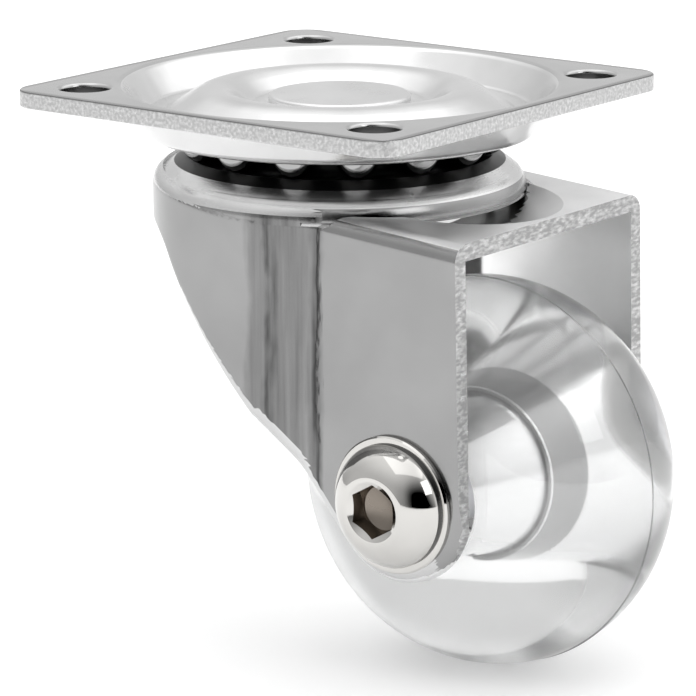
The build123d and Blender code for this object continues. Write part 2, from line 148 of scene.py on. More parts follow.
class AxleSizes(bpy.types.PropertyGroup):
    """Sizes of the axle bolt, and where the axle lies"""
    x: length("Axle offset", "Distance of the axle from the swivel axis", 23.56)
    drop: length("Axle drop", "Depth of the axle under the plate's face", 47.5)
    washer_thick: length("Washer thickness", "Thickness of the washer under the bolt's head", 0.8)
    head_radius: length("Bolt head radius", "Radius of the bolt's head", 7.8)
    head_height: length("Bolt head height", "Height of the bolt's head", 3.8)
    rim_height: length("Bolt rim height", "Height of the straight rim of the head", 0.5)
    face_radius: length("Bolt face radius", "Radius of the flat on the head", 4.4)
    lead_radius: length("Socket lead radius", "Radius of the bevel round the socket", 3.8)
    socket_across: length("Socket across flats", "Width of the hexagon socket", 6.0)
    socket_depth: length("Socket depth", "Depth of the hexagon socket", 2.6)
    shank_radius: length("Shank radius", "Radius of the bolt's shank", 4.0)
    bolt_end: length("Bolt end", "Distance of the bolt's end from the middle plane", 31.1)
    end_bevel: length("End bevel", "Bevel at the bolt's end", 0.6)
    thread_pitch: length("Thread pitch", "Distance between the grooves at the bolt's end", 0.8)
    thread_depth: length("Thread depth", "Depth of the grooves at the bolt's end", 0.4)


class WheelSizes(bpy.types.PropertyGroup):
    """Sizes of the clear wheel"""
    radius: length("Wheel radius", "Radius of the wheel's tread", 25.0)
    crown: length("Crown radius", "Radius of the rounded tread across its width", 16.0)
    half: length("Half width", "Half the width over the hub", 15.9)
    hub_radius: length("Hub radius", "Radius of the flat face of the hub", 10.4)
    bore: length("Hub bore", "Radius of the bore beside the bearing", 9.0)
    bevel: length("Bore bevel", "Bevel at the mouth of the bore", 0.4)
    rib_height: length("Parting line height", "Height of the line round the tread", 0.12)
    rib_width: length("Parting line width", "Width of the line round the tread", 0.5)


class BearingSizes(bpy.types.PropertyGroup):
    """Sizes of the ball bearing in the wheel"""
    radius: length("Bearing radius", "Outer radius of the ball bearing", 9.5)
    bore: length("Bearing bore", "Radius of the bearing's bore", 5.02)
    width: length("Bearing width", "Width of the ball bearing", 5.0)
    offset: length("Bearing offset", "Distance of the bearing from the middle plane", 2.4)
    corner: length("Corner", "Rounding of the rings' corners", 0.3)
    lip: length("Ring lip", "Thickness of a ring beside its balls", 1.1)
    shield_seat: length("Shield seat", "Depth of the recess that holds a shield's edge", 0.4)
    ball_radius: length("Ball radius", "Radius of a ball in the bearing", 1.19)
    ball_count: number("Balls", "Balls in the bearing", 10)
    shield: length("Shield", "Thickness of a shield", 0.25)
    sink: length("Shield sink", "Depth of a shield under the ring's face", 0.15)


class Finishes(bpy.types.PropertyGroup):
    """Colours of the metals, the plastics and the floor, some standing for painted light or shade"""
    plate_colour: colour("Plate", "Colour of the flat of the plated plate", (0.52, 0.52, 0.52))
    # Painted sheen on the plate's dish and underside; also the colour of the turned collar and pin
    dish_sheen_and_turned_colour: colour("Dish sheen and turned parts", "Colour of the dished and turned sheet", (0.72, 0.72, 0.72))
    # Painted light: lightens the fork's top and its shaded inside faces
    painted_light_colour: colour("Fork top and inside light", "Colour of the burnished top of the fork", (0.85, 0.85, 0.85))
    fork_colour: colour("Fork", "Colour of the plated fork", (0.32, 0.32, 0.32))
    # Painted shade in the creases, darkest where they are deep
    crease_shade_colour: colour("Creases", "Colour of the drawn creases beside the shoulder", (0.06, 0.06, 0.06))
    # Painted highlight for the rolled rear edges of the legs
    rolled_highlight_colour: colour("Rolled edge highlight", "Colour of the rolled rear edges of the fork", (0.62, 0.62, 0.62))
    cut_colour: colour("Cut edges", "Colour of the sheared edges", (0.42, 0.42, 0.42))
    # Painted shade for the holes and crevices
    painted_shade_colour: colour("Painted shade", "Colour of the metal in holes and crevices", (0.12, 0.12, 0.12))
    # Painted shade for the race in the gap under the plate
    race_shade_colour: colour("Race shade", "Colour of the greased race", (0.03, 0.03, 0.03))
    ball_colour: colour("Balls", "Colour of the balls", (0.42, 0.42, 0.42))
    nickel_colour: colour("Nickel", "Colour of the bolt and its washer", (0.60, 0.59, 0.57))
    socket_colour: colour("Socket", "Colour of the dull metal in the socket", (0.25, 0.22, 0.19))
    zinc_colour: colour("Zinc", "Colour of the nut and far washer", (0.60, 0.60, 0.62))
    nylon_colour: colour("Nylon", "Colour of the thrust washers and insert", (0.82, 0.82, 0.80))
    clear_colour: colour("Clear plastic", "Tint of the clear wheel", (0.91, 0.915, 0.915))
    floor_colour: colour("Floor", "Colour of the floor", (0.90, 0.90, 0.90))


def mm(value):
    """A property's metres in millimetres."""
    return value / MM


def arc_profile(points, step=math.radians(6)):
    """Corners (radius, height, bend radius) turned into a fine line with round bends."""
    line = []
    last = len(points) - 1
    for i, (a, b, bend) in enumerate(points):
        corner = Vector((a, b))
        if bend <= 0 or i == 0 or i == last:
            line.append(corner)
            continue
        back = (Vector(points[i - 1][:2]) - corner).normalized()
        ahead = (Vector(points[i + 1][:2]) - corner).normalized()
        half = back.angle(ahead) / 2
        centre = corner + (back + ahead).normalized() * (bend / math.sin(half))
        start = corner + back * (bend / math.tan(half)) - centre
        sweep = math.pi - 2 * half
        if start.x * ahead.y - start.y * ahead.x < 0:
            sweep = -sweep
        count = max(2, math.ceil(abs(sweep) / step))
        for k in range(count + 1):
            turn = Matrix.Rotation(sweep * k / count, 2)
            line.append(centre + turn @ start)
    return line


def arc_between(a, b, centre, step=math.radians(3)):
    """Points of the arc from a to b about a centre."""
    first = math.atan2(a[1] - centre[1], a[0] - centre[0])
    last = math.atan2(b[1] - centre[1], b[0] - centre[0])
    radius = math.hypot(a[0] - centre[0], a[1] - centre[1])
    count = max(2, math.ceil(abs(last - first) / step))
    angles = [first + (last - first) * k / count for k in range(count + 1)]
    return [Vector((centre[0] + radius * math.cos(t), centre[1] + radius * math.sin(t))) for t in angles]


def parallel(line, thick):
    """The line moved to its right by a sheet's thickness."""
    moved = []
    for i, point in enumerate(line):
        before = (point - line[i - 1]).normalized() if i > 0 else (line[1] - point).normalized()
        after = (line[i + 1] - point).normalized() if i < len(line) - 1 else before
        mean = (before + after).normalized()
        reach = thick / max(0.5, mean.dot(before))
        moved.append(point + Vector((mean.y, -mean.x)) * reach)
    return moved


def start_tree(name, sockets):
    """A Geometry Nodes tree with named inputs, or None where it is there already."""
    if name in bpy.data.node_groups:
        return None
    tree = bpy.data.node_groups.new(name, "GeometryNodeTree")
    tree.interface.new_socket("Geometry", in_out="INPUT", socket_type="NodeSocketGeometry")
    for label, kind in sockets:
        tree.interface.new_socket(label, in_out="INPUT", socket_type="NodeSocket" + kind)
    tree.interface.new_socket("Geometry", in_out="OUTPUT", socket_type="NodeSocketGeometry")
    return tree


def end_tree(tree, shape, source):
    """Ends a tree in Realize Instances and Set Material."""
    real = tree.nodes.new("GeometryNodeRealizeInstances")
    tree.links.new(shape, real.inputs[0])
    paint = tree.nodes.new("GeometryNodeSetMaterial")
    tree.links.new(real.outputs[0], paint.inputs["Geometry"])
    tree.links.new(source.outputs["Material"], paint.inputs["Material"])
    target = tree.nodes.new("NodeGroupOutput")
    tree.links.new(paint.outputs[0], target.inputs[0])
    return tree


def maths(tree, operation, first, second=None):
    """Output of a Math node fed by numbers or sockets."""
    node = tree.nodes.new("ShaderNodeMath")
    node.operation = operation
    for socket, value in zip(node.inputs, (first, second)):
        if isinstance(value, (int, float)):
            socket.default_value = value
        elif value is not None:
            tree.links.new(value, socket)
    return node.outputs[0]


def turning_tree():
    """Geometry Nodes that turn a line of points about Z."""
    tree = start_tree("Turned Part", (("Steps", "Int"), ("Material", "Material")))
    if tree is None:
        return bpy.data.node_groups["Turned Part"]
    add = tree.nodes.new
    link = tree.links.new
    source = add("NodeGroupInput")
    count = add("GeometryNodeAttributeDomainSize")
    link(source.outputs["Geometry"], count.inputs[0])
    rows = count.outputs["Point Count"]
    grid = add("GeometryNodeMeshGrid")
    link(maths(tree, "ADD", source.outputs["Steps"], 1), grid.inputs["Vertices X"])
    link(rows, grid.inputs["Vertices Y"])
    index = add("GeometryNodeInputIndex").outputs[0]
    column = maths(tree, "FLOOR", maths(tree, "DIVIDE", maths(tree, "ADD", index, 0.25), rows))
    row = maths(tree, "SUBTRACT", index, maths(tree, "MULTIPLY", column, rows))
    sample = add("GeometryNodeSampleIndex")
    sample.data_type = "FLOAT_VECTOR"
    link(source.outputs["Geometry"], sample.inputs["Geometry"])
    link(add("GeometryNodeInputPosition").outputs[0], sample.inputs["Value"])
    link(row, sample.inputs["Index"])
    parts = add("ShaderNodeSeparateXYZ")
    link(sample.outputs[0], parts.inputs[0])
    angle = maths(tree, "MULTIPLY", maths(tree, "DIVIDE", column, source.outputs["Steps"]), TURN)
    place = add("ShaderNodeCombineXYZ")
    link(maths(tree, "MULTIPLY", parts.outputs["X"], maths(tree, "COSINE", angle)), place.inputs["X"])
    link(maths(tree, "MULTIPLY", parts.outputs["X"], maths(tree, "SINE", angle)), place.inputs["Y"])
    link(parts.outputs["Z"], place.inputs["Z"])
    move = add("GeometryNodeSetPosition")
    link(grid.outputs["Mesh"], move.inputs["Geometry"])
    link(place.outputs[0], move.inputs["Position"])
    merge = add("GeometryNodeMergeByDistance")
    merge.inputs["Distance"].default_value = 1e-6
    link(move.outputs[0], merge.inputs["Geometry"])
    return end_tree(tree, merge.outputs[0], source)


def ball_tree():
    """Geometry Nodes that set balls evenly round a ring."""
    sockets = (("Count", "Int"), ("Ring Radius", "Float"), ("Ball Radius", "Float"), ("Height", "Float"),
               ("Phase", "Float"), ("Segments", "Int"), ("Material", "Material"))
    tree = start_tree("Ball Row", sockets)
    if tree is None:
        return bpy.data.node_groups["Ball Row"]
    add = tree.nodes.new
    link = tree.links.new
    source = add("NodeGroupInput")
    ring = add("GeometryNodeMeshCircle")
    link(source.outputs["Count"], ring.inputs["Vertices"])
    link(source.outputs["Ring Radius"], ring.inputs["Radius"])
    turn = add("ShaderNodeCombineXYZ")
    link(source.outputs["Phase"], turn.inputs["Z"])
    lift = add("ShaderNodeCombineXYZ")
    link(source.outputs["Height"], lift.inputs["Z"])
    place = add("GeometryNodeTransform")
    link(ring.outputs[0], place.inputs["Geometry"])
    link(turn.outputs[0], place.inputs["Rotation"])
    link(lift.outputs[0], place.inputs["Translation"])
    ball = add("GeometryNodeMeshUVSphere")
    link(source.outputs["Segments"], ball.inputs["Segments"])
    link(maths(tree, "DIVIDE", source.outputs["Segments"], 2), ball.inputs["Rings"])
    link(source.outputs["Ball Radius"], ball.inputs["Radius"])
    spread = add("GeometryNodeInstanceOnPoints")
    link(place.outputs[0], spread.inputs["Points"])
    link(ball.outputs["Mesh"], spread.inputs["Instance"])
    return end_tree(tree, spread.outputs[0], source)


def run_tree(tree, mesh, values, name):
    """A plain mesh made by a Geometry Nodes tree from a mesh and named inputs."""
    carrier = bpy.data.objects.new(name + "_carrier", mesh)
    bpy.context.scene.collection.objects.link(carrier)
    modifier = carrier.modifiers.new("Make", "NODES")
    modifier.node_group = tree
    for item in tree.interface.items_tree:
        if item.item_type == "SOCKET" and item.in_out == "INPUT" and item.name in values:
            modifier[item.identifier] = values[item.name]
    graph = bpy.context.evaluated_depsgraph_get()
    made = bpy.data.meshes.new_from_object(carrier.evaluated_get(graph))
    made.name = name
    bpy.data.objects.remove(carrier)
    made.materials.clear()
    made.materials.append(values["Material"])
    for face in made.polygons:
        face.material_index = 0
    return made


def lathe(name, line, finish, steps=160):
    """Mesh turned about Z from a line of (radius, height) in millimetres."""
    mesh = bpy.data.meshes.new(name + "_line")
    runs = [(i, i + 1) for i in range(len(line) - 1)]
    mesh.from_pydata([(p[0] * MM, 0, p[1] * MM) for p in line], runs, [])
    return run_tree(turning_tree(), mesh, {"Steps": steps, "Material": finish}, name)


def lay_on_axle(mesh):
    """Turns a mesh made about Z to lie along the axle."""
    axle = bpy.context.scene.castor_axle
    mesh.transform(Matrix.Translation((axle.x, 0, -axle.drop)) @ Matrix.Rotation(-math.pi / 2, 4, "X"))
    return mesh


def piece(name, mesh, body, nodes, sharp=math.radians(32)):
    """Makes a mesh a finished piece that rides on its body in place of its CAD nodes."""
    work = bmesh.new()
    work.from_mesh(mesh)
    bmesh.ops.remove_doubles(work, verts=work.verts, dist=1e-7)
    bmesh.ops.dissolve_degenerate(work, dist=1e-8, edges=work.edges)
    bmesh.ops.recalc_face_normals(work, faces=work.faces)
    work.to_mesh(mesh)
    work.free()
    mesh.shade_smooth()
    mesh.set_sharp_from_angle(angle=sharp)
    return dressed(name, mesh, body, nodes)


def dressed(name, mesh, body, nodes):
    """Links a mesh and says what it rides on and replaces."""
    made = bpy.data.objects.new(name, mesh)
    bpy.context.scene.collection.objects.link(made)
    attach(made, body)
    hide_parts(*nodes)
    return made


def even_normals(made):
    """Keeps flat faces flat and bends smooth in a piece's shading."""
    soften = made.modifiers.new("Even normals", "WEIGHTED_NORMAL")
    soften.keep_sharp = True
    soften.weight = 80
    return made


def cad_copy(node, name, finish, body, sharp=math.radians(25)):
    """A merged and smoothed copy of a CAD node."""
    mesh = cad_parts[node].data.copy()
    mesh.name = name
    for key in list(mesh.attributes.keys()):
        if key.startswith(("UVMap", "custom_normal", "sharp")):
            mesh.attributes.remove(mesh.attributes[key])
    work = bmesh.new()
    work.from_mesh(mesh)
    bmesh.ops.remove_doubles(work, verts=work.verts, dist=2e-6)
    bmesh.ops.dissolve_degenerate(work, dist=1e-7, edges=work.edges)
    work.to_mesh(mesh)
    work.free()
    mesh.materials.clear()
    mesh.materials.append(finish)
    mesh.shade_smooth()
    mesh.set_sharp_from_angle(angle=sharp)
    return even_normals(dressed(name, mesh, body, (node,)))


def noise(tree, vector, scale, detail):
    """Output of a Noise Texture, whose scale is in waves to the metre."""
    node = tree.nodes.new("ShaderNodeTexNoise")
    node.inputs["Scale"].default_value = scale
    node.inputs["Detail"].default_value = detail
    tree.links.new(vector, node.inputs["Vector"])
    return node.outputs["Fac"]


def spread_over(tree, value, low, high, start=0.3, end=0.7):
    """Maps a value from one range to another and clamps it."""
    node = tree.nodes.new("ShaderNodeMapRange")
    for label, number_in in (("From Min", start), ("From Max", end), ("To Min", low), ("To Max", high)):
        node.inputs[label].default_value = number_in
    tree.links.new(value, node.inputs["Value"])
    return node.outputs["Result"]


def bump(tree, height, distance, under=None):
    """Normal of a bump whose height is in millimetres, over another normal."""
    node = tree.nodes.new("ShaderNodeBump")
    node.inputs["Distance"].default_value = distance * MM
    tree.links.new(height, node.inputs["Height"])
    if under is not None:
        tree.links.new(under, node.inputs["Normal"])
    return node.outputs["Normal"]


def stretched(tree, place, x, y, z):
    """Object coordinates scaled along each axis."""
    node = tree.nodes.new("ShaderNodeMapping")
    node.inputs["Scale"].default_value = (x, y, z)
    tree.links.new(place, node.inputs["Vector"])
    return node.outputs[0]


def ringed(tree, place):
    """Coordinates that are the same all the way round the swivel axis."""
    parts = tree.nodes.new("ShaderNodeSeparateXYZ")
    tree.links.new(place, parts.inputs[0])
    squares = [maths(tree, "MULTIPLY", parts.outputs[axis], parts.outputs[axis]) for axis in "XY"]
    radius = maths(tree, "SQRT", maths(tree, "ADD", *squares))
    join = tree.nodes.new("ShaderNodeCombineXYZ")
    tree.links.new(radius, join.inputs["X"])
    tree.links.new(parts.outputs["Z"], join.inputs["Y"])
    return join.outputs[0]


def new_material(name):
    """A new material, its nodes, its shader and the object's own coordinates."""
    made = bpy.data.materials.new(name)
    made.use_nodes = True
    tree = made.node_tree
    place = tree.nodes.new("ShaderNodeTexCoord").outputs["Object"]
    return made, tree, tree.nodes["Principled BSDF"], place


def mixed(tree, factor, first, second):
    """Colour between the first, a colour or a socket, and the second, a colour."""
    node = tree.nodes.new("ShaderNodeMix")
    node.data_type = "RGBA"
    if isinstance(first, bpy.types.NodeSocket):
        tree.links.new(first, node.inputs["A"])
    else:
        node.inputs["A"].default_value = (*first, 1)
    node.inputs["B"].default_value = (*second, 1)
    tree.links.new(factor, node.inputs["Factor"])
    return node.outputs["Result"]


def scaled(base, gain):
    """The colour made lighter or darker, up to white."""
    return [min(1.0, c * gain) for c in base]


def edge_shaded(tree, place, shade, base, half, wide):
    """The colour with a painted shade border, darker along the edges of a square of half that side."""
    parts = tree.nodes.new("ShaderNodeSeparateXYZ")
    tree.links.new(place, parts.inputs[0])
    sides = [maths(tree, "ABSOLUTE", parts.outputs[axis]) for axis in "XY"]
    outward = spread_over(tree, maths(tree, "MAXIMUM", *sides), 0, 1, half - wide, half - wide / 2)
    return mixed(tree, outward, shade, scaled(base, 0.45))


def creased_with_shade(tree, place, shade, normal, start, end, depth, dark):
    """The colour and normal with upright creases from one X to another, with painted shade where they are
    deep.
    """
    parts = tree.nodes.new("ShaderNodeSeparateXYZ")
    tree.links.new(place, parts.inputs[0])
    waver = noise(tree, stretched(tree, place, 1, 1, 0.4), 260, 3)
    sway = spread_over(tree, waver, -CREASE_SWAY, CREASE_SWAY)
    across = maths(tree, "ADD", parts.outputs["X"], sway)
    ramp = tree.nodes.new("ShaderNodeValToRGB")
    ramp.color_ramp.elements[1].color = (0, 0, 0, 1)
    for at, level in CREASE_SHADE_TONES:
        stop = ramp.color_ramp.elements.new(at)
        stop.color = (level, level, level, 1)
    tree.links.new(spread_over(tree, across, 0, 1, start, end), ramp.inputs[0])
    drawn = noise(tree, stretched(tree, place, 1, 1, 0.03), 1500, 4)
    # Painted shade: the colour darkens in streaks along the creases
    shade_streak = maths(tree, "MULTIPLY", ramp.outputs["Color"], spread_over(tree, drawn, 0.6, 1.2))
    normal = bump(tree, ramp.outputs["Color"], -depth, normal)
    return mixed(tree, shade_streak, shade, dark), bump(tree, drawn, 0.004, normal)


def metal(name, base, rough, spread=0.05, grain=0.003, wave=0.0, rings=0.0, creases=None, border=None):
    """A plated or polished metal with uneven polish, fine grain and faint stains.

    It may have waves, turned rings, creases (start, end, depth, colour) and a border (half side, width),
    both painted shade.
    """
    if name in bpy.data.materials:
        return bpy.data.materials[name]
    made, tree, shader, place = new_material(name)
    shader.inputs["Metallic"].default_value = 1.0
    stains = spread_over(tree, noise(tree, place, 70, 5), 0, 1)
    shade = mixed(tree, stains, scaled(base, 1 - STAIN), scaled(base, 1 + STAIN))
    polish = noise(tree, place, 150, 6)
    roughness = spread_over(tree, polish, max(0.02, rough - spread), rough + spread)
    normal = bump(tree, noise(tree, place, 2500, 3), grain)
    if wave > 0:
        normal = bump(tree, noise(tree, place, 90, 2), wave, normal)
    if rings > 0:
        lines = noise(tree, ringed(tree, place), 2200, 4)
        normal = bump(tree, lines, rings, normal)
        roughness = maths(tree, "ADD", roughness, spread_over(tree, lines, 0, 0.08))
    # Painted shade: a darker border along the plate's edges
    if border is not None:
        shade = edge_shaded(tree, place, shade, base, *border)
    # Painted shade in the creases, with their bumps
    if creases is not None:
        shade, normal = creased_with_shade(tree, place, shade, normal, *creases)
    tree.links.new(shade, shader.inputs["Base Color"])
    tree.links.new(roughness, shader.inputs["Roughness"])
    tree.links.new(normal, shader.inputs["Normal"])
    return made


def sheared(name, base, contrast, flow):
    """The torn, sparkling grain of a sheet's cut edge, drawn out along the cut."""
    if name in bpy.data.materials:
        return bpy.data.materials[name]
    made, tree, shader, place = new_material(name)
    shader.inputs["Metallic"].default_value = 1.0
    specks = noise(tree, stretched(tree, place, 1, flow, 1), 2400, 6)
    dark, light = scaled(base, 1 - contrast), scaled(base, 1 + 1.5 * contrast)
    tree.links.new(mixed(tree, spread_over(tree, specks, 0, 1, 0.42, 0.66), dark, light),
                   shader.inputs["Base Color"])
    tree.links.new(spread_over(tree, specks, 0.45, 0.25), shader.inputs["Roughness"])
    tree.links.new(bump(tree, specks, 0.04), shader.inputs["Normal"])
    return made


def clear_plastic(name, base):
    """Clear acrylic with a faint ripple left by its mould."""
    made, tree, shader, place = new_material(name)
    shader.inputs["Base Color"].default_value = (*base, 1)
    shader.inputs["Roughness"].default_value = 0.09
    shader.inputs["IOR"].default_value = 1.5
    shader.inputs["Transmission Weight"].default_value = 0.86
    tree.links.new(bump(tree, noise(tree, place, 60, 1), 0.02), shader.inputs["Normal"])
    return made


def matt(name, base, rough):
    """A plain moulded or painted surface with a fine, even mottle."""
    if name in bpy.data.materials:
        return bpy.data.materials[name]
    made, tree, shader, place = new_material(name)
    shader.inputs["Base Color"].default_value = (*base, 1)
    tree.links.new(spread_over(tree, noise(tree, place, 900, 3), rough - 0.05, rough + 0.05),
                   shader.inputs["Roughness"])
    tree.links.new(bump(tree, noise(tree, place, 1800, 2), 0.004), shader.inputs["Normal"])
    return made


def paint_where(mesh, finish, test):
    """Gives another finish to the faces whose centre and normal pass the test."""
    mesh.materials.append(finish)
    slot = len(mesh.materials) - 1
    for face in mesh.polygons:
        if test(face.center, face.normal):
            face.material_index = slot


def dish_line(s):
    """The dish's upper line from the kingpin's hole out to the flat."""
    sheet = mm(s.sheet)
    pocket, hill, valley = -mm(s.pocket_depth), -mm(s.hill_depth), -mm(s.valley_depth)
    low, wide = mm(s.valley_radius), mm(s.valley_half)
    return arc_profile([
        (mm(s.pin_bore), pocket, 0),
        (mm(s.pocket_radius), pocket, 1.5),
        (mm(s.hill_inner), hill, 1.6 + sheet),
        (mm(s.hill_outer), hill, 2.2 + sheet),
        (low - wide, valley, 0.8),
        (low + wide, valley, 0.8),
        (mm(s.dish_radius), 0, 1.5),
        (mm(s.flat_radius), 0, 0),
    ], math.radians(3))


def ball_groove(line, balls):
    """The plate's lower line, raised to clear the upper row of balls."""
    reach = mm(balls.upper_radius) + BALL_GAP
    for point in line:
        off = point.x - mm(balls.upper_ring)
        if abs(off) < reach:
            point.y = max(point.y, -mm(balls.upper_drop) + math.sqrt(reach ** 2 - off ** 2))
    return line


def finely(line, step):
    """The same line with extra points, none further apart than the step."""
    result = [line[0]]
    for first, second in zip(line, line[1:]):
        count = max(1, math.ceil((second - first).length / step))
        result += [first.lerp(second, (k + 1) / count) for k in range(count)]
    return result


def round_points(x, y, radius, start, stop, steps):
    """Points along an arc, with both of its ends."""
    angles = [start + (stop - start) * i / steps for i in range(steps + 1)]
    return [(x + radius * math.cos(t), y + radius * math.sin(t)) for t in angles]


def flat_plate(work, s, steps):
    """Adds the flat of the plate round the dish, with its bolt holes and broken edges."""
    side, corner = mm(s.side) / 2, mm(s.corner)
    spot = mm(s.hole_pitch) / 2
    flat = mm(s.flat_radius)
    bend = TURN / 4
    inset = side - corner
    loops = {"outline": [], "dish": round_points(0, 0, flat, 0, TURN, steps)[:-1]}
    for k, (x, y) in enumerate(((1, 1), (-1, 1), (-1, -1), (1, -1))):
        loops["outline"] += round_points(x * inset, y * inset, corner, k * bend, (k + 1) * bend, 12)
        loops[f"hole{k}"] = round_points(x * spot, y * spot, mm(s.hole_radius), 0, TURN, 64)[:-1]
    edges = {}
    for name, loop in loops.items():
        verts = [work.verts.new((x * MM, y * MM, 0)) for x, y in loop]
        edges[name] = [work.edges.new((verts[i - 1], verts[i])) for i in range(len(verts))]
    every = [edge for group in edges.values() for edge in group]
    filled = bmesh.ops.triangle_fill(work, use_beauty=True, use_dissolve=False, edges=every,
                                     normal=(0, 0, 1))
    top = [item for item in filled["geom"] if isinstance(item, bmesh.types.BMFace)]
    low = bmesh.ops.extrude_face_region(work, geom=top, use_keep_orig=True)["geom"]
    bmesh.ops.translate(work, verts=[v for v in low if isinstance(v, bmesh.types.BMVert)],
                        vec=(0, 0, -s.sheet))
    # The dish goes on from here, so the flat has no wall round its opening
    walls = [face for face in work.faces if abs(face.normal.z) < 0.5
             and all(abs(mm(v.co.xy.length) - flat) < 0.001 for v in face.verts)]
    bmesh.ops.delete(work, geom=walls, context="FACES_ONLY")
    rims = [edge for name, group in edges.items() for edge in group
            if name.startswith("hole") and edge.is_valid]
    bmesh.ops.bevel(work, geom=rims, offset=s.hole_lead, segments=5, profile=0.5, affect="EDGES")
    border = [edge for edge in work.edges if is_border(edge, s)]
    bmesh.ops.bevel(work, geom=border, offset=s.edge, segments=3, profile=0.5, affect="EDGES")


def is_border(edge, s):
    """True for the outer edges of the plate's top and bottom."""
    ends = [v.co for v in edge.verts]
    outside = all(max(abs(c.x), abs(c.y)) > s.side / 2 - s.border
                  and c.xy.length > s.side / 2 - EDGE_SLACK for c in ends)
    level = abs(ends[0].z - ends[1].z) < EDGE_SLACK
    return outside and level and len(edge.link_faces) == 2 and edge.calc_face_angle(0) > 1.0


class CASTOR_OT_plate(bpy.types.Operator):
    """Presses the mounting plate and sets the kingpin and the lower race in it"""
    bl_idname = "castor.plate"
    bl_label = "Mounting Plate"

    def execute(self, context):
        s = context.scene.castor_plate
        b = context.scene.castor_balls
        looks = context.scene.castor_finishes
        # The flat's colour has a painted shade border along the plate's edges
        sheet = metal("Plated Sheet", looks.plate_colour, 0.2, wave=0.06, border=(s.side / 2, s.border))
        steps = 192
        upper = dish_line(s)
        lower = ball_groove(finely(parallel(upper, mm(s.sheet)), 0.3), b)
        made = lathe("pressed_plate", list(reversed(upper)) + lower, sheet, steps)
        work = bmesh.new()
        work.from_mesh(made)
        flat = bmesh.new()
        flat_plate(flat, s, steps)
        ring = bpy.data.meshes.new("plate_flat")
        flat.to_mesh(ring)
        flat.free()
        work.from_mesh(ring)
        bmesh.ops.remove_doubles(work, verts=work.verts, dist=2e-6)
        work.to_mesh(made)
        work.free()
        even_normals(piece("pressed_plate", made, "plate", ("mounting_plate",)))
        self.paint(made, s, looks)
        steel = metal("Plated Pin", looks.dish_sheen_and_turned_colour, 0.3)
        cad_copy("kingpin", "kingpin_turned", steel, "plate")
        cad_copy("lower_race_cup", "lower_race_cup_smooth", steel, "plate")
        return {"FINISHED"}

    def paint(self, plate, s, looks):
        """The plate's cut edge, painted sheen on its dish and underside, and painted shade on its hole
        walls and bevel.
        """
        inner = s.side / 2 - s.border
        spot = s.hole_pitch / 2

        def off_hole(c):
            return Vector((abs(c.x) - spot, abs(c.y) - spot)).length

        edge = sheared("Plate Edge", looks.plate_colour, 0.12, 1.0)
        paint_where(plate, edge, lambda c, n: abs(n.z) < 0.4 and max(abs(c.x), abs(c.y)) > inner)
        # Painted sheen: the dish and the underside get a lighter copy of the plate's sheet
        bright = metal("Dished Sheet", looks.dish_sheen_and_turned_colour, 0.2, 0.08, wave=0.3)
        paint_where(plate, bright, lambda c, n: c.xy.length < s.dish_radius or n.z < -0.5)
        # Painted shade on the hole walls and on the plate's top bevel
        shade = metal("Shaded Metal", looks.painted_shade_colour, 0.3)
        paint_where(plate, shade, lambda c, n: abs(n.z) < 0.3 and c.z < -s.hole_lead - 0.2 * MM
                    and off_hole(c) < s.hole_radius + 0.1 * MM)
        paint_where(plate, shade, lambda c, n: 0.3 < abs(n.z) < 0.9 and c.z > -s.edge
                    and max(abs(c.x), abs(c.y)) > inner)


class CASTOR_OT_balls(bpy.types.Operator):
    """Sets both rows of balls in their races"""
    bl_idname = "castor.balls"
    bl_label = "Ball Rows"

    def execute(self, context):
        s = context.scene.castor_balls
        steel = metal("Polished Balls", context.scene.castor_finishes.ball_colour, 0.09, 0.03, 0.0005)
        rows = (
            ("upper", s.upper_count, s.upper_ring, s.upper_radius, s.upper_drop, s.upper_phase),
            ("lower", s.lower_count, s.lower_ring, s.lower_radius, s.lower_drop, 0.0),
        )
        for row, count, ring, radius, drop, phase in rows:
            values = {"Count": count, "Ring Radius": ring, "Ball Radius": radius, "Height": -drop,
                      "Phase": phase, "Segments": 48, "Material": steel}
            mesh = run_tree(ball_tree(), bpy.data.meshes.new("seed"), values, row + "_ball_row")
            nodes = [f"{row}_ball_{k + 1:02d}" for k in range(count)]
            piece(row + "_ball_row", mesh, row + "_balls", nodes, math.pi)
        return {"FINISHED"}


